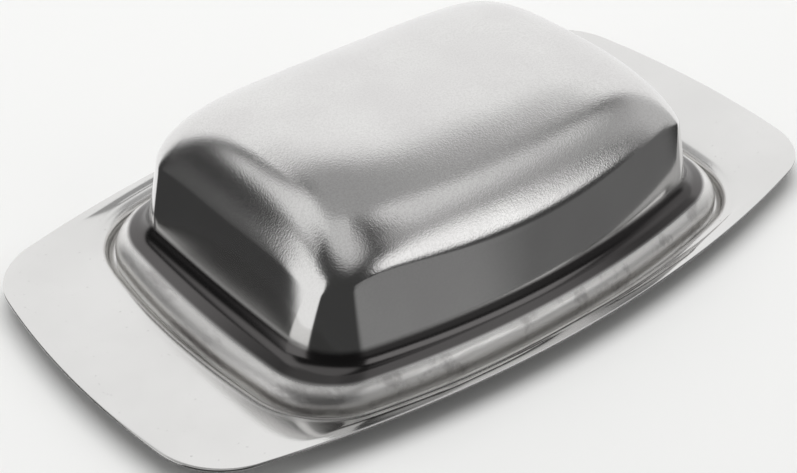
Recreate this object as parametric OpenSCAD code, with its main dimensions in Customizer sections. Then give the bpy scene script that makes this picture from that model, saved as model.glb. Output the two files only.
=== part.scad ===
// Butter dish in pressed stainless steel sheet. An oblong tray with two wide
// wings has a shallow flat-bottomed well, and a loose loaf-shaped lid stands
// in that well on the edge of its flange.
// Millimetres, +Z up. The origin is on the table under the tray's centre,
// X runs along the tray and Y across it. The dish is symmetric about both.
//
// Every outline in plan is the same kind of oval: two shallow arcs make the
// ends, two make the long sides, and four tight arcs round the corners.

/* [Sheet] */
// Thickness of the steel sheet
sheet = 0.6; // [0.4:0.1:0.8]

/* [Tray] */
// Length over the two wings
tray_l = 190; // [184:1:200]
// Width across the middle
tray_w = 112.6; // [110:0.2:120]
// Radius of the curved ends
tray_end_r = 216; // [180:4:300]
// Radius of the curved long sides
tray_side_r = 300; // [240:10:400]
// Radius of the wing corners
tray_corner_r = 18; // [10:1:24]

/* [Well] */
// Depth of the well below the rim
well_depth = 5.2; // [5:0.1:8]
// Length of the well between its upright walls
well_l = 138.8; // [137.6:0.2:141]
// Width of the well between its upright walls
well_w = 102; // [100.6:0.2:103]
// Radius of the fillet between the floor and the wall
well_fillet = 1.6; // [1:0.1:2]
// Radius of the roll between the wall and the rim
well_roll = 3; // [2:0.1:3]

/* [Lid flange] */
// Length over the edge of the flange
edge_l = 135.2; // [134:0.2:135.6]
// Width over the edge of the flange
edge_w = 98.6; // [97:0.2:99]
// Radius of the corners of the flange
edge_corner_r = 18.4; // [16:0.2:20]
// Height of the upright lip at the edge
edge_lip = 2; // [1:0.1:3]
// Radius of the flange's rounded shoulder
shoulder_r = 5.2; // [4.6:0.1:5.6]
// Radius of the hollow fillet under the lid's wall
hollow_r = 5.2; // [4.6:0.1:5.6]
// Slope of the flange between shoulder and hollow, in degrees
flange_slope = 20; // [12:1:24]

/* [Lid body] */
// Length at the foot of the wall
foot_l = 116; // [112:0.5:118]
// Width at the foot of the wall
foot_w = 86.4; // [82:0.2:88]
// Radius of the wall's corners at the foot
foot_corner_r = 14.6; // [12:0.2:16]
// Height of the foot of the wall above the rim
foot_rise = 6.4; // [5.8:0.2:7]
// Length at the top of the straight wall
brow_l = 108.6; // [104:0.2:110]
// Width at the top of the straight wall
brow_w = 81.4; // [79:0.2:82]
// Radius of the wall's corners at the top of the straight wall
brow_corner_r = 8.6; // [8:0.2:12]
// Height of the top of the straight wall above the rim
brow_rise = 19.4; // [17:0.2:22]
// Reach of the roll over the top edge, inwards
roll_reach = 11; // [9:0.2:12]
// Rise of the roll over the top edge
roll_rise = 2.6; // [2:0.1:4]
// Height of the crown above the roll
crown_rise = 13.8; // [12:0.2:15]
// How squarely the crown ends lengthways
crown_square_l = 7; // [5:0.5:8]
// How squarely the crown ends crossways
crown_square_w = 3; // [2.6:0.1:3.6]

/* [Hidden] */
steel = [0.78, 0.78, 0.77];
polished = [0.62, 0.62, 0.62];
rim_top = sheet + well_depth;
// radii of the ends and sides of the well, the flange and the lid's body
well_end_r = 200;
well_side_r = 240;
body_end_r = 500;
foot_side_r = 210;
brow_side_r = 194;
well_corner_r = edge_corner_r + (well_l - edge_l) / 2;
// points along a quarter of every outline: end, corner and side
END_PTS = 4;
CORNER_PTS = 8;
SIDE_PTS = 8;
QUARTER = END_PTS + CORNER_PTS + SIDE_PTS;
RING = 4 * QUARTER;
// steps round each bend of a profile, and across the crown
BEND_STEPS = 4;
WALL_STEPS = 3;
ROLL_STEPS = 6;
CROWN_STEPS = 5;
// how late the wall rises or dips to meet the crown's rim
CROWN_GROWTH = 1.5;
// how full the crown's corners are, from 0, cut away, to 1, square
CORNER_FILL = 0.5;
// how fast the corners tighten over the roll
CORNER_TIGHTENING = 0.6;
// the roll is part of a quarter turn, and starts this many degrees into it
ROLL_START = 8;

// ---- outlines ----

// An oval is [half length, half width, end radius, side radius, corner radius].
function oval(l, w, end_r, side_r, corner_r) = [l / 2, w / 2, end_r, side_r, corner_r];

// The same oval drawn a distance d outside itself.
function grown(o, d) = [for (v = o) v + d];

// Centre of the arc that rounds the corner in the first quarter.
function corner_centre(o) =
    let (
        end_c = [o[0] - o[2], 0],
        side_c = [0, o[1] - o[3]],
        apart = norm(side_c - end_c),
        dir = (side_c - end_c) / apart,
        to_end = o[2] - o[4],
        to_side = o[3] - o[4],
        along = (to_end * to_end - to_side * to_side + apart * apart) / (2 * apart),
        off = sqrt(to_end * to_end - along * along)
    )
    end_c + along * dir + off * [-dir[1], dir[0]];

function arc_point(c, r, a) = c + r * [cos(a), sin(a)];

// Point i of QUARTER along the first quarter, from the end to the side.
function quarter_point(o, i) =
    let (
        c = corner_centre(o),
        end_c = [o[0] - o[2], 0],
        side_c = [0, o[1] - o[3]],
        a_end = atan2(c[1] - end_c[1], c[0] - end_c[0]),
        a_side = atan2(c[1] - side_c[1], c[0] - side_c[0])
    )
    i < END_PTS ? arc_point(end_c, o[2], a_end * i / END_PTS)
    : i < END_PTS + CORNER_PTS
        ? arc_point(c, o[4], a_end + (a_side - a_end) * (i - END_PTS) / CORNER_PTS)
    : arc_point(side_c, o[3], a_side + (90 - a_side) * (i - END_PTS - CORNER_PTS) / SIDE_PTS);

// The whole outline, counter-clockwise from +X, made from the first quarter.
function outline(o) = [
    for (k = [0 : RING - 1])
        let (
            q = floor(k / QUARTER),
            j = k % QUARTER,
            p = quarter_point(o, q % 2 == 0 ? j : QUARTER - j)
        )
        [(q == 1 || q == 2) ? -p[0] : p[0], q > 1 ? -p[1] : p[1]]
];

function at_height(pts, z) = [for (p = pts) [p[0], p[1], z]];

// ---- lofting ----

// Triangles between ring i and ring j of a loft, seen clockwise from outside.
function band(i, j) = [
    for (k = [0 : RING - 1])
        let (
            a = i * RING + k,
            b = i * RING + (k + 1) % RING,
            c = j * RING + (k + 1) % RING,
            d = j * RING + k
        )
        each [[a, d, c], [a, c, b]]
];

function joined(lists) = [for (l = lists) each l];

// A closed tube of rings, the last joined to the first.
module ring_loft(rings) {
    count = len(rings);
    polyhedron(
        points = joined(rings),
        faces = joined([for (i = [0 : count - 1]) band(i, (i + 1) % count)])
    );
}

// A skin of rings that starts and ends in a point.
module domed_loft(start, rings, end) {
    count = len(rings);
    first = count * RING;
    last = first + 1;
    polyhedron(
        points = concat(joined(rings), [start, end]),
        faces = concat(
            [for (k = [0 : RING - 1]) [first, k, (k + 1) % RING]],
            joined([for (i = [0 : count - 2]) band(i, i + 1)]),
            [for (k = [0 : RING - 1])
                [(count - 1) * RING + k, last, (count - 1) * RING + (k + 1) % RING]]
        )
    );
}

// ---- tray ----

tray_oval = oval(tray_l, tray_w, tray_end_r, tray_side_r, tray_corner_r);
well_oval = oval(well_l, well_w, well_end_r, well_side_r, well_corner_r);

// Profile of the tray's upper face from the floor to the crease of the rim:
// [distance outside the well's wall, height], with the lower face as a twin
// that runs one sheet thickness behind it.
function tray_profile(back) = concat(
    [for (i = [0 : BEND_STEPS])
        let (a = 90 * i / BEND_STEPS, r = well_fillet + back)
        [-well_fillet + r * sin(a), sheet + well_fillet - r * cos(a)]],
    [for (i = [0 : BEND_STEPS])
        let (a = 90 * i / BEND_STEPS, r = well_roll - back)
        [well_roll - r * cos(a), rim_top - well_roll + r * sin(a)]]
);

function tray_rings(back) =
    [for (p = tray_profile(back)) at_height(outline(grown(well_oval, p[0])), p[1])];

function reversed(list) = [for (i = [len(list) - 1 : -1 : 0]) list[i]];

module tray_skin() {
    edge = outline(tray_oval);
    ring_loft(concat(
        tray_rings(sheet),
        [at_height(edge, rim_top - sheet), at_height(edge, rim_top)],
        reversed(tray_rings(0))
    ));
}

module tray_floor() {
    linear_extrude(sheet)
        polygon(outline(grown(well_oval, -well_fillet)));
}

module tray() {
    color(steel) {
        tray_skin();
        tray_floor();
    }
}

// ---- lid ----

edge_oval = oval(edge_l, edge_w, well_end_r, well_side_r, edge_corner_r);
foot_oval = oval(foot_l, foot_w, body_end_r, foot_side_r, foot_corner_r);
brow_oval = oval(brow_l, brow_w, body_end_r, brow_side_r, brow_corner_r);
foot_z = rim_top + foot_rise;
brow_z = rim_top + brow_rise;
roll_z = brow_z + roll_rise;
// steepness of the wall at its foot, across the middle of the long side
wall_angle = atan2(brow_z - foot_z, (foot_w - brow_w) / 2);

// Profile of the flange from its edge up to the foot of the wall:
// [distance inside the edge, height above the edge, slope in degrees].
shoulder_curve = [
    for (i = [0 : BEND_STEPS])
        let (a = 90 + (flange_slope - 90) * i / BEND_STEPS)
        [shoulder_r * (1 - sin(a)), edge_lip + shoulder_r * cos(a), a]
];
shoulder_end = shoulder_curve[BEND_STEPS];
hollow_width = hollow_r * (sin(wall_angle) - sin(flange_slope));
hollow_height = hollow_r * (cos(flange_slope) - cos(wall_angle));
slope_height = foot_z - sheet - shoulder_end[1] - hollow_height;
slope_width = slope_height / tan(flange_slope);
hollow_curve = [
    for (i = [0 : BEND_STEPS])
        let (a = flange_slope + (wall_angle - flange_slope) * i / BEND_STEPS)
        [
            shoulder_end[0] + slope_width + hollow_r * (sin(a) - sin(flange_slope)),
            shoulder_end[1] + slope_height + hollow_r * (cos(flange_slope) - cos(a)),
            a
        ]
];
flange_curve = concat([[0, 0, 90]], shoulder_curve, hollow_curve);
flange_width = hollow_curve[BEND_STEPS][0];

// Rings of the flange, the inner face one sheet thickness behind the outer.
function flange_rings(back) = [
    for (p = flange_curve)
        let (
            share = p[0] / flange_width,
            inset = -back * sin(p[2]),
            outer = outline(grown(edge_oval, inset)),
            inner = outline(grown(foot_oval, inset)),
            z = sheet + p[1] - back * cos(p[2])
        )
        at_height((1 - share) * outer + share * inner, z)
];

// The crown is a cushion over the plan of the lid, level with the roll along
// the middle of each side.
function crown(x, y) =
    let (
        along = pow(abs(2 * x / brow_l), crown_square_l),
        across = pow(abs(2 * y / brow_w), crown_square_w)
    )
    crown_rise * (1 - along - across + CORNER_FILL * along * across);

function crowned(pts, z) = [for (p = pts) [p[0], p[1], z + crown(p[0], p[1])]];

// The wall meets the crown's rim, which is higher or lower from place to place.
brow_lift = [for (p = outline(brow_oval)) crown(p[0], p[1])];

function wall_rings(back) = [
    for (i = [1 : WALL_STEPS])
        let (
            share = i / WALL_STEPS,
            lift = pow(share, CROWN_GROWTH),
            pts = outline(grown((1 - share) * foot_oval + share * brow_oval, -back)),
            z = foot_z + share * (brow_z - foot_z)
        )
        [for (k = [0 : RING - 1]) [pts[k][0], pts[k][1], z + lift * brow_lift[k]]]
];

// The roll turns the wall over into the crown and tightens its corners.
function rolled(a) =
    let (reach = roll_reach * (cos(ROLL_START) - cos(a)) / cos(ROLL_START))
    [
        for (i = [0 : 4])
            brow_oval[i] - (i < 2 ? 1 : i == 4 ? CORNER_TIGHTENING : 0) * reach
    ];

function roll_rings(back) = [
    for (i = [1 : ROLL_STEPS])
        let (
            a = ROLL_START + (90 - ROLL_START) * i / ROLL_STEPS,
            rise = roll_rise * (sin(a) - sin(ROLL_START)) / (1 - sin(ROLL_START))
        )
        crowned(outline(grown(rolled(a), -back * cos(a))), brow_z + rise - back * sin(a))
];

function crown_rings(back) = [
    for (i = [1 : CROWN_STEPS])
        crowned(outline(rolled(90)) * (1 - i / (CROWN_STEPS + 1)), roll_z - back)
];

function lid_rings(back) =
    concat(flange_rings(back), wall_rings(back), roll_rings(back), crown_rings(back));

module lid() {
    peak = roll_z + crown_rise;
    color(polished)
        domed_loft(
            [0, 0, peak - sheet],
            concat(reversed(lid_rings(sheet)), lid_rings(0)),
            [0, 0, peak]
        );
}

tray();
lid();
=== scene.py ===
"""Looks of the butter dish: a pressed-steel tray and its loose lid, in metres."""
import math

import bpy
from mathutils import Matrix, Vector


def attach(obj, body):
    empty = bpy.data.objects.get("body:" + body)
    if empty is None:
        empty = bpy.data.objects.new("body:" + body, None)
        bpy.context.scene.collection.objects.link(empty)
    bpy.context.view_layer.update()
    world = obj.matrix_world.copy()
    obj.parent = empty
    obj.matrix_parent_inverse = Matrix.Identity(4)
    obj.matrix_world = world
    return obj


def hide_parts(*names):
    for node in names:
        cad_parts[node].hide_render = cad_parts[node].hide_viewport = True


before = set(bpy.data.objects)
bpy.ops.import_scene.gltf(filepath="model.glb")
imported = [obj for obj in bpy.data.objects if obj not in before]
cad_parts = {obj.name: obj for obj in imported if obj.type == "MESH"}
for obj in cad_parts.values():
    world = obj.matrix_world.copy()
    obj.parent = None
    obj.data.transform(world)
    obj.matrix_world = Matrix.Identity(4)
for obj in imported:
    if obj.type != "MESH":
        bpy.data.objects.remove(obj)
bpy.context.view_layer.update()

MM = 0.001

# ---- driving sizes, as in the CAD model -------------------------------------

SHEET = 0.6 * MM
WELL_DEPTH = 5.2 * MM
RIM_TOP = SHEET + WELL_DEPTH
WELL_FILLET = 1.6 * MM
WELL_ROLL = 3.0 * MM
SHOULDER_R = 5.2 * MM
HOLLOW_R = 5.2 * MM
EDGE_LIP = 2.0 * MM
FLANGE_SLOPE = math.radians(20)
FOOT_Z = RIM_TOP + 6.4 * MM
BROW_Z = RIM_TOP + 19.4 * MM
ROLL_REACH = 11.0 * MM
ROLL_RISE = 2.6 * MM
ROLL_START = math.radians(8)
ROLL_Z = BROW_Z + ROLL_RISE
CROWN_RISE = 13.8 * MM
# How squarely the crown ends, lengthways and crossways.
CROWN_SQUARE_L = 7.0
CROWN_SQUARE_W = 3.0
# How full the crown's corners are, from 0, cut away, to 1, square.
CORNER_FILL = 0.5
# How late the wall rises or dips to meet the crown's rim.
CROWN_GROWTH = 1.5
# How fast the corners tighten over the roll.
CORNER_TIGHTENING = 0.6

# An oval is (half length, half width, end radius, side radius, corner radius).
TRAY = (95 * MM, 56.3 * MM, 216 * MM, 300 * MM, 18 * MM)
WELL = (69.4 * MM, 51 * MM, 200 * MM, 240 * MM, 20.2 * MM)
EDGE = (67.6 * MM, 49.3 * MM, 200 * MM, 240 * MM, 18.4 * MM)
FOOT = (58 * MM, 43.2 * MM, 500 * MM, 210 * MM, 14.6 * MM)
BROW = (54.3 * MM, 40.7 * MM, 500 * MM, 194 * MM, 8.6 * MM)

# ---- outlines and lofts -----------------------------------------------------

# Points along the end, the corner and the side in a quarter of every outline.
END_PTS = 12
CORNER_PTS = 22
SIDE_PTS = 18
RING = 4 * (END_PTS + CORNER_PTS + SIDE_PTS)


def grown(oval, d):
    """The same oval drawn a distance d outside itself."""
    return tuple(v + d for v in oval)


def mixed(a, b, share):
    """The numbers of b mixed into those of a by share."""
    return tuple((1 - share) * u + share * v for u, v in zip(a, b))


def quarter(oval):
    """Points from the end to the side: three arcs that run into each other."""
    half_l, half_w, end_r, side_r, corner_r = oval
    end_c = Vector((half_l - end_r, 0))
    side_c = Vector((0, half_w - side_r))
    apart = (side_c - end_c).length
    along = (side_c - end_c) / apart
    across = Vector((-along.y, along.x))
    to_end = end_r - corner_r
    to_side = side_r - corner_r
    reach = (to_end ** 2 - to_side ** 2 + apart ** 2) / (2 * apart)
    corner_c = end_c + reach * along + math.sqrt(to_end ** 2 - reach ** 2) * across
    a_end = math.atan2(corner_c.y, corner_c.x - end_c.x)
    a_side = math.atan2(corner_c.y - side_c.y, corner_c.x)
    stretches = (
        (end_c, end_r, 0, a_end, END_PTS),
        (corner_c, corner_r, a_end, a_side, CORNER_PTS),
        (side_c, side_r, a_side, math.pi / 2, SIDE_PTS),
    )
    pts = [
        (c.x + r * math.cos(a0 + (a1 - a0) * i / n), c.y + r * math.sin(a0 + (a1 - a0) * i / n))
        for c, r, a0, a1, n in stretches
        for i in range(n)
    ]
    return pts + [(0, half_w)]


def outline(oval):
    """The whole oval, counter-clockwise from +X."""
    pts = quarter(oval)
    back = pts[::-1]
    return (
        pts[:-1]
        + [(-x, y) for x, y in back[:-1]]
        + [(-x, -y) for x, y in pts[:-1]]
        + [(x, -y) for x, y in back[:-1]]
    )


def at_height(pts, z):
    return [(x, y, z) for x, y in pts]


def loft(name, rings, start, end):
    """A smooth closed mesh over rings, from the point start to the point end."""
    verts = [p for ring in rings for p in ring]
    last = (len(rings) - 1) * RING
    faces = []
    for low in range(0, last, RING):
        for k in range(RING):
            n = (k + 1) % RING
            faces.append((low + k, low + n, low + RING + n, low + RING + k))
    for point, ring, turned in ((start, 0, False), (end, last, True)):
        tip = len(verts)
        verts.append(point)
        for k in range(RING):
            a = ring + k
            b = ring + (k + 1) % RING
            faces.append((tip, a, b) if turned else (tip, b, a))
    mesh = bpy.data.meshes.new(name)
    mesh.from_pydata(verts, [], faces)
    mesh.shade_smooth()
    mesh.validate()
    piece = bpy.data.objects.new(name, mesh)
    bpy.context.scene.collection.objects.link(piece)
    return piece


def steps(n, first=0):
    """Shares of the way from first / n to 1, in steps of 1 / n."""
    return [i / n for i in range(first, n + 1)]


# ---- tray -------------------------------------------------------------------

# Radius of the sheet's rounded cut edges.
EDGE_ROUND = 0.22 * MM
EDGE_STEPS = 3
FLOOR_STEPS = 14
FILLET_STEPS = 8
ROLL_STEPS = 10
# The rim dips a little where the sheet was drawn down into the well.
RIM_DIP = 0.75 * MM
DIP_REACH = 15 * MM
# Shares of the way over the rim, closest beside the well, where the dip bends most.
RIM_STEPS = (0.02, 0.06, 0.12, 0.2, 0.3, 0.42, 0.56, 0.7, 0.85, 0.97, 1.0)


def tray_profile(back):
    """(distance outside the well's wall, height) from floor to rim, back under the upper face."""
    profile = []
    for t in steps(FILLET_STEPS):
        a = t * math.pi / 2
        r = WELL_FILLET + back
        profile.append((-WELL_FILLET + r * math.sin(a), SHEET + WELL_FILLET - r * math.cos(a)))
    for t in steps(ROLL_STEPS):
        a = t * math.pi / 2
        r = WELL_ROLL - back
        profile.append((WELL_ROLL - r * math.cos(a), RIM_TOP - WELL_ROLL + r * math.sin(a)))
    return profile


def dip_left(share, width):
    """How much of the dip is left that share of the way over a rim of that width."""
    left = max(0, 1 - share * width / DIP_REACH) ** 2
    return left * (1 - share) if width < DIP_REACH else left


def tray_face(back):
    """Rings from near the tray's centre to its edge, a distance back under the upper face."""
    floor_z = SHEET - back
    rim_z = RIM_TOP - back
    floor = outline(grown(WELL, -WELL_FILLET))
    crease = outline(grown(WELL, WELL_ROLL))
    edge = outline(grown(TRAY, -EDGE_ROUND))
    widths = [math.hypot(u - x, v - y) for (x, y), (u, v) in zip(crease, edge)]
    dips = [RIM_DIP * min(1, width / DIP_REACH) for width in widths]
    rings = [
        at_height([(x * t, y * t) for x, y in floor], floor_z)
        for t in steps(FLOOR_STEPS, first=1)[:-1]
    ]
    for d, z in tray_profile(back):
        sunk = max(0, (z - floor_z - WELL_FILLET) / (rim_z - floor_z - WELL_FILLET))
        wall = outline(grown(WELL, d))
        rings.append([(x, y, z - sunk * dip) for (x, y), dip in zip(wall, dips)])
    for t in RIM_STEPS:
        rings.append([
            (*mixed(inner, outer, t), rim_z - dip * dip_left(t, width))
            for inner, outer, dip, width in zip(crease, edge, dips, widths)
        ])
    return rings


def tray_edge():
    """Rings round the tray's cut edge, from its under face to its upper one."""
    rings = []
    for z, start in ((RIM_TOP - SHEET + EDGE_ROUND, -90), (RIM_TOP - EDGE_ROUND, 0)):
        for t in steps(EDGE_STEPS):
            a = math.radians(start + 90 * t)
            shape = outline(grown(TRAY, EDGE_ROUND * (math.cos(a) - 1)))
            rings.append(at_height(shape, z + EDGE_ROUND * math.sin(a)))
    return rings[1:-1]


def make_tray():
    """The tray's sheet: out along its under face, round its edge and back in over the top."""
    rings = tray_face(SHEET) + tray_edge() + tray_face(0)[::-1]
    return loft("tray_sheet", rings, start=(0, 0, 0), end=(0, 0, SHEET))


# ---- lid --------------------------------------------------------------------

WALL_ANGLE = math.atan2(BROW_Z - FOOT_Z, FOOT[1] - BROW[1])
LIP_STEPS = 3
BEND_STEPS = 12
WALL_STEPS = 14
TURN_STEPS = 18
CROWN_STEPS = 26


def flange_profile():
    """(distance inside the edge, height above it, slope) up to the wall's foot."""
    profile = [(0, EDGE_LIP * t, math.pi / 2) for t in steps(LIP_STEPS)[1:-1]]
    for t in steps(BEND_STEPS):
        a = math.pi / 2 + (FLANGE_SLOPE - math.pi / 2) * t
        profile.append((SHOULDER_R * (1 - math.sin(a)), EDGE_LIP + SHOULDER_R * math.cos(a), a))
    shoulder = profile[-1]
    hollow_h = HOLLOW_R * (math.cos(FLANGE_SLOPE) - math.cos(WALL_ANGLE))
    slope_h = FOOT_Z - SHEET - shoulder[1] - hollow_h
    start_x = shoulder[0] + slope_h / math.tan(FLANGE_SLOPE)
    start_z = shoulder[1] + slope_h
    for t in steps(BEND_STEPS):
        a = FLANGE_SLOPE + (WALL_ANGLE - FLANGE_SLOPE) * t
        profile.append((
            start_x + HOLLOW_R * (math.sin(a) - math.sin(FLANGE_SLOPE)),
            start_z + HOLLOW_R * (math.cos(FLANGE_SLOPE) - math.cos(a)),
            a,
        ))
    return profile


def flange_rings(back):
    """Rings from the lip to the wall's foot, a distance back inside the outer face."""
    profile = flange_profile()
    width = profile[-1][0]
    rings = []
    for x, z, slope in profile:
        share = x / width
        inset = -back * math.sin(slope)
        outer = outline(grown(EDGE, inset))
        inner = outline(grown(FOOT, inset))
        ring = [mixed(a, b, share) for a, b in zip(outer, inner)]
        rings.append(at_height(ring, SHEET + z - back * math.cos(slope)))
    return rings


def crown(x, y):
    """Height of the cushion over the plan of the lid."""
    along = abs(x / BROW[0]) ** CROWN_SQUARE_L
    across = abs(y / BROW[1]) ** CROWN_SQUARE_W
    return CROWN_RISE * (1 - along - across + CORNER_FILL * along * across)


def crowned(pts, z):
    """Points at the crown's height above z."""
    return [(x, y, z + crown(x, y)) for x, y in pts]


def rolled(a):
    """The lid's outline where the roll has turned by the angle a."""
    reach = ROLL_REACH * (math.cos(ROLL_START) - math.cos(a)) / math.cos(ROLL_START)
    half_l, half_w, end_r, side_r, corner_r = BROW
    return (half_l - reach, half_w - reach, end_r, side_r, corner_r - CORNER_TIGHTENING * reach)


def body_rings(back):
    """Rings of wall, roll and crown, a distance back inside the outer face."""
    lift = [crown(x, y) for x, y in outline(BROW)]
    rings = []
    for t in steps(WALL_STEPS)[1:]:
        shape = outline(grown(mixed(FOOT, BROW, t), -back))
        z = FOOT_Z + t * (BROW_Z - FOOT_Z)
        rings.append([(x, y, z + t ** CROWN_GROWTH * up) for (x, y), up in zip(shape, lift)])
    for t in steps(TURN_STEPS)[1:]:
        a = ROLL_START + (math.pi / 2 - ROLL_START) * t
        rise = ROLL_RISE * (math.sin(a) - math.sin(ROLL_START)) / (1 - math.sin(ROLL_START))
        shape = outline(grown(rolled(a), -back * math.cos(a)))
        rings.append(crowned(shape, BROW_Z + rise - back * math.sin(a)))
    top = outline(rolled(math.pi / 2))
    for t in steps(CROWN_STEPS)[1:-1]:
        rings.append(crowned([(x * (1 - t), y * (1 - t)) for x, y in top], ROLL_Z - back))
    return rings


def lid_edge():
    """Rings round the cut edge under the lip, from its inner to its outer face."""
    rings = []
    for inset, start in ((SHEET - EDGE_ROUND, 180), (EDGE_ROUND, 270)):
        for t in steps(EDGE_STEPS):
            a = math.radians(start + 90 * t)
            shape = outline(grown(EDGE, -inset + EDGE_ROUND * math.cos(a)))
            rings.append(at_height(shape, SHEET + EDGE_ROUND + EDGE_ROUND * math.sin(a)))
    return rings


def make_lid():
    """The lid's sheet: down its inner face, round its edge and up its outer face."""
    peak = ROLL_Z + CROWN_RISE
    inner = flange_rings(SHEET) + body_rings(SHEET)
    outer = flange_rings(0) + body_rings(0)
    rings = inner[::-1] + lid_edge() + outer
    return loft("lid_sheet", rings, start=(0, 0, peak - SHEET), end=(0, 0, peak))


# ---- node helpers -----------------------------------------------------------


class Net:
    """Builds a node tree in short lines: every call returns its output socket."""

    def __init__(self, tree):
        self.tree = tree

    def node(self, kind, inputs=(), **settings):
        made = self.tree.nodes.new(kind)
        for key, value in settings.items():
            setattr(made, key, value)
        for key, value in dict(inputs).items():
            if isinstance(value, bpy.types.NodeSocket):
                self.tree.links.new(value, made.inputs[key])
            else:
                made.inputs[key].default_value = value
        return made

    def math(self, operation, *values):
        return self.node("ShaderNodeMath", enumerate(values), operation=operation).outputs[0]

    def times(self, a, b):
        return self.math("MULTIPLY", a, b)

    def ramp(self, value, low, high, to_low=0.0, to_high=1.0):
        """A smooth step of value from low to high."""
        return self.node(
            "ShaderNodeMapRange",
            {"Value": value, "From Min": low, "From Max": high, "To Min": to_low, "To Max": to_high},
            interpolation_type="SMOOTHSTEP",
        ).outputs[0]

    def spread(self, noise, to_low=0.0, to_high=1.0):
        """Noise, which mostly lies between 0.3 and 0.7, spread over the given range."""
        return self.ramp(noise, 0.3, 0.7, to_low, to_high)

    def blend(self, share, a, b):
        """Numbers a and b mixed by share."""
        return self.node("ShaderNodeMix", {0: share, 2: a, 3: b}).outputs[0]

    def tint(self, share, a, b):
        """Colours a and b mixed by share."""
        return self.node("ShaderNodeMix", {0: share, 6: a, 7: b}, data_type="RGBA").outputs[2]

    def stretched(self, coords, stretch, turn=0.0):
        """Coordinates scaled along X, Y and Z, after a turn about Z in degrees."""
        inputs = {"Vector": coords, "Scale": stretch, "Rotation": (0, 0, math.radians(turn))}
        return self.node("ShaderNodeMapping", inputs).outputs[0]

    def noise(self, coords, size, detail=2.0, roughness=0.5):
        """Noise from 0 to 1 with features of about the given size."""
        inputs = {"Vector": coords, "Scale": 1 / size, "Detail": detail, "Roughness": roughness}
        return self.node("ShaderNodeTexNoise", inputs).outputs[0]

    def bump(self, height, distance, normal=None):
        inputs = {"Height": height, "Distance": distance, "Strength": 1.0}
        if normal is not None:
            inputs["Normal"] = normal
        return self.node("ShaderNodeBump", inputs).outputs[0]


# ---- materials --------------------------------------------------------------

STEEL = (0.78, 0.775, 0.765, 1)
TRAY_CLOUD = (0.74, 0.735, 0.725, 1)
LID_CLOUD = (0.74, 0.73, 0.725, 1)
SPECKLE = (0.60, 0.59, 0.58, 1)
SATIN = (0.90, 0.89, 0.875, 1)
SMUDGE = (0.36, 0.34, 0.34, 1)
# Painted shade: a near-black colour for the hollow at the wall's foot, standing in for the shade
# there.
PAINTED_HOLLOW_SHADE = (0.045, 0.04, 0.04, 1)
# Roughness of each zone; a pair is the range over its clouds or streaks.
RIM_ROUGH = (0.10, 0.14)
WELL_ROUGH = 0.24
WALL_ROUGH = 0.08
TOP_ROUGH = (0.16, 0.20)
FLANGE_ROUGH = (0.36, 0.46)
HOLLOW_ROUGH = 0.18


def new_steel(name):
    """A metal with its node builder, shader, object coordinates and height."""
    mat = bpy.data.materials.new(name)
    mat.use_nodes = True
    net = Net(mat.node_tree)
    shader = mat.node_tree.nodes["Principled BSDF"]
    shader.inputs["Metallic"].default_value = 1
    coords = net.node("ShaderNodeTexCoord").outputs["Object"]
    height = net.node("ShaderNodeSeparateXYZ", {0: coords}).outputs[2]
    return mat, net, shader, coords, height


def finish_steel(net, shader, colour, roughness, normal):
    for name, value in (("Base Color", colour), ("Roughness", roughness), ("Normal", normal)):
        net.tree.links.new(value, shader.inputs[name])


def hairlines(net, coords, turn, share):
    """Thin scratches along the direction turn, in degrees; share is how many show."""
    lines = net.noise(net.stretched(coords, (0.03, 1, 1), turn), 0.16 * MM, detail=1.0)
    broken = net.noise(net.stretched(coords, (0.4, 1, 1), turn), 5 * MM, detail=1.0)
    return net.times(net.ramp(lines, 0.72 - 0.1 * share, 0.8), net.ramp(broken, 0.5, 0.6))


def tray_steel():
    """Satin steel with faint clouds, specks and scratches, duller down in the well."""
    mat, net, shader, coords, height = new_steel("tray_steel")
    in_well = net.ramp(height, RIM_TOP - 0.5 * MM, RIM_TOP - 0.9 * MM)
    clouds = net.noise(coords, 26 * MM, detail=3.0)
    grain = net.noise(coords, 0.45 * MM, detail=2.0, roughness=0.6)
    ripple = net.noise(coords, 17 * MM, detail=0.0)
    specks = net.ramp(net.noise(coords, 0.7 * MM, detail=0.0), 0.2, 0.15)
    scratches = net.math(
        "MAXIMUM", hairlines(net, coords, 8, share=0.4), hairlines(net, coords, -34, share=0.2)
    )
    colour = net.tint(net.spread(clouds), STEEL, TRAY_CLOUD)
    colour = net.tint(net.times(specks, 0.3), colour, SMUDGE)
    roughness = net.math("ADD", net.spread(clouds, *RIM_ROUGH), net.times(scratches, 0.05))
    roughness = net.blend(in_well, roughness, WELL_ROUGH)
    normal = net.bump(grain, 0.006 * MM)
    normal = net.bump(ripple, 0.018 * MM, normal)
    finish_steel(net, shader, colour, roughness, normal)
    return mat


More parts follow.
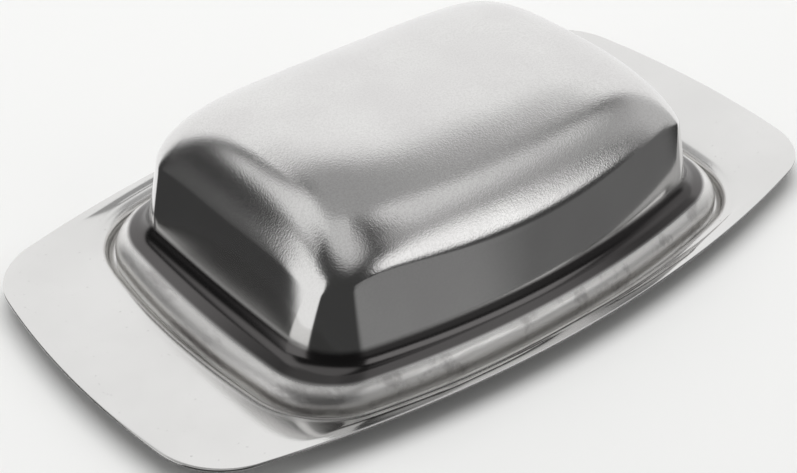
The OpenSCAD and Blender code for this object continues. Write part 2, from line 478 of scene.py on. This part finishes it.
def lid_steel():
    """Polished walls, a fine-grained top, a hollow darkened with painted shade and a worn satin
    flange.
    """
    mat, net, shader, coords, height = new_steel("lid_steel")
    on_top = net.ramp(height, BROW_Z - 1 * MM, ROLL_Z + 2 * MM)
    on_flange = net.ramp(height, FOOT_Z - 4.4 * MM, FOOT_Z - 5.0 * MM)
    off_flange = net.math("SUBTRACT", 1.0, on_flange)
    # The hollow at the wall's foot: it carries the painted shade and its own roughness.
    in_hollow = net.times(net.ramp(height, FOOT_Z + 0.8 * MM, FOOT_Z - 1 * MM), off_flange)
    clouds = net.noise(coords, 20 * MM, detail=3.0)
    peel = net.noise(coords, 0.42 * MM, detail=2.0, roughness=0.6)
    ripple = net.noise(coords, 12 * MM, detail=0.0)
    rubbed = net.noise(net.stretched(coords, (1, 0.3, 1)), 7 * MM, detail=5.0, roughness=0.6)
    worn = net.times(net.ramp(rubbed, 0.5, 0.64), on_flange)
    streaks = net.noise(net.stretched(coords, (0.06, 1, 1), turn=80), 0.5 * MM, detail=3.0)
    scratches = net.math(
        "MAXIMUM", hairlines(net, coords, 84, share=0.6), hairlines(net, coords, 20, share=0.2)
    )
    speckle = net.times(net.ramp(peel, 0.42, 0.62), net.ramp(on_top, 0, 1, 0.1, 0.3))
    colour = net.tint(net.spread(clouds), STEEL, LID_CLOUD)
    colour = net.tint(speckle, colour, SPECKLE)
    colour = net.tint(on_flange, colour, SATIN)
    colour = net.tint(net.times(worn, 0.45), colour, SMUDGE)
    # Painted shade: the hollow at the wall's foot is darkened nearly to black.
    colour = net.tint(net.times(in_hollow, 0.9), colour, PAINTED_HOLLOW_SHADE)
    roughness = net.blend(on_top, WALL_ROUGH, net.spread(clouds, *TOP_ROUGH))
    roughness = net.blend(on_flange, roughness, net.spread(streaks, *FLANGE_ROUGH))
    roughness = net.blend(in_hollow, roughness, HOLLOW_ROUGH)
    roughness = net.math("ADD", roughness, net.times(scratches, 0.08))
    normal = net.bump(net.times(peel, net.ramp(on_top, 0, 1, 0.05, 1)), 0.03 * MM)
    normal = net.bump(net.times(streaks, on_flange), 0.006 * MM, normal)
    normal = net.bump(ripple, 0.03 * MM, normal)
    finish_steel(net, shader, colour, roughness, normal)
    return mat


# ---- pieces -----------------------------------------------------------------


def add_piece(piece, body, material):
    """Give a piece its material and its body, and hide the CAD node it stands for."""
    piece.data.materials.append(material)
    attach(piece, body)
    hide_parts(body)


add_piece(make_tray(), "tray", tray_steel())
add_piece(make_lid(), "lid", lid_steel())

# ---- camera -----------------------------------------------------------------


# The camera looks down from in front and to the left. Its azimuth is from straight in
# front, positive towards +X, and both angles are in degrees.
CAMERA_AZIMUTH = -39.6
CAMERA_ELEVATION = 36.24
CAMERA_TARGET = Vector((-11.68 * MM, -5.45 * MM, RIM_TOP))
CAMERA_DISTANCE = 358.4 * MM
CAMERA_LENS = 70.03
CAMERA_SENSOR = 36


def add_camera():
    azimuth = math.radians(CAMERA_AZIMUTH)
    elevation = math.radians(CAMERA_ELEVATION)
    back = Vector((
        math.sin(azimuth) * math.cos(elevation),
        -math.cos(azimuth) * math.cos(elevation),
        math.sin(elevation),
    ))
    data = bpy.data.cameras.new("camera")
    data.lens = CAMERA_LENS
    data.sensor_width = CAMERA_SENSOR
    data.clip_start = 10 * MM
    camera = bpy.data.objects.new("camera", data)
    camera.location = CAMERA_TARGET + CAMERA_DISTANCE * back
    camera.rotation_euler = (-back).to_track_quat("-Z", "Y").to_euler()
    bpy.context.scene.collection.objects.link(camera)
    bpy.context.scene.camera = camera


add_camera()

# ---- studio -----------------------------------------------------------------

# Sizes and places here are in metres.
FLOOR_HALF = 3.0
FLOOR_PALE = (0.86, 0.86, 0.85, 1)
FLOOR_ROUGH = 0.9
LAMP_PLACE = Vector((0.2, 0.3, 1.4))
LAMP_SIZE = 1.6
LAMP_WATTS = 16
ROOM_DARK = 0.05
# What the camera itself sees behind the floor.
SEEN_GREY = 0.9

# Soft cards round the dish, each laid over the ones before it: the compass direction of its
# middle from +X towards +Y, its half width, its lower and upper elevation, the softness of
# its edges, all in degrees, and its brightness.
CARDS = (
    ("front", -160, 66, 50, 90, 8, 0.62),
    ("overhead", 46, 100, 50, 90, 5, 0.36),
    ("left wall", 138, 18, 27, 62, 6, 0.8),
    ("left low", 134, 14, -8, 6, 2, 0.1),
    ("right corner", -8, 26, -10, 40, 8, 0.56),
    ("right gap", -46, 24, 34, 58, 5, 0.36),
    ("right floor", -40, 22, -40, 4, 6, 0.14),
    ("front floor", -78, 18, -40, 4, 6, 0.24),
    ("right card, high", -33, 17, 45, 72, 4, 0.78),
    ("backdrop", 54, 54, -90, 51, 3, 0.98),
    ("left gap", 104, 10, 50, 62, 4, 0.2),
    ("right card, low", -66, 21, 16, 38, 2, 1.20),
    ("left card", 163.5, 17.5, -20, 24, 2, 0.95),
)


def add_surround():
    """A studio of soft cards as the world; the camera itself sees plain pale grey."""
    world = bpy.data.worlds.new("world")
    bpy.context.scene.world = world
    world.use_nodes = True
    net = Net(world.node_tree)
    way = net.node("ShaderNodeTexCoord").outputs["Generated"]
    up = net.node("ShaderNodeSeparateXYZ", {0: way}).outputs[2]
    # Just over 1, so that straight up doesn't divide by nothing below.
    level = net.math("SQRT", net.math("SUBTRACT", 1.0001, net.times(up, up)))
    light = ROOM_DARK
    for _, azimuth, half, low, high, soft, brightness in CARDS:
        a = math.radians(azimuth)
        ahead = net.node(
            "ShaderNodeVectorMath", {0: way, 1: (math.cos(a), math.sin(a), 0)}, operation="DOT_PRODUCT"
        ).outputs["Value"]
        wide = math.radians(half + soft)
        narrow = math.radians(half - soft)
        share = net.ramp(net.math("DIVIDE", ahead, level), math.cos(wide), math.cos(narrow))
        for edge, sign in ((low, 1), (high, -1)):
            if abs(edge) == 90:
                continue
            outside = math.radians(edge - sign * soft)
            inside = math.radians(edge + sign * soft)
            share = net.times(share, net.ramp(up, math.sin(outside), math.sin(inside)))
        light = net.blend(share, light, brightness)
    seen = net.node("ShaderNodeLightPath").outputs["Is Camera Ray"]
    light = net.blend(seen, light, SEEN_GREY)
    net.tree.links.new(light, world.node_tree.nodes["Background"].inputs["Color"])


def add_floor():
    """A pale floor that stays out of the reflections, which the surround makes."""
    mesh = bpy.data.meshes.new("floor")
    h = FLOOR_HALF
    mesh.from_pydata([(-h, -h, 0), (h, -h, 0), (h, h, 0), (-h, h, 0)], [], [(0, 1, 2, 3)])
    floor = bpy.data.objects.new("floor", mesh)
    mat = bpy.data.materials.new("floor")
    mat.use_nodes = True
    shader = mat.node_tree.nodes["Principled BSDF"]
    shader.inputs["Base Color"].default_value = FLOOR_PALE
    shader.inputs["Roughness"].default_value = FLOOR_ROUGH
    mesh.materials.append(mat)
    floor.visible_glossy = False
    bpy.context.scene.collection.objects.link(floor)


def add_lamp():
    """A wide lamp overhead that brightens the floor and stays out of the reflections."""
    data = bpy.data.lights.new("lamp", "AREA")
    data.shape = "DISK"
    data.size = LAMP_SIZE
    data.energy = LAMP_WATTS
    lamp = bpy.data.objects.new("lamp", data)
    lamp.location = LAMP_PLACE
    lamp.rotation_euler = (-LAMP_PLACE).to_track_quat("-Z", "Y").to_euler()
    lamp.visible_glossy = False
    bpy.context.scene.collection.objects.link(lamp)


add_surround()
add_floor()
add_lamp()
bpy.context.scene.view_settings.view_transform = "Standard"
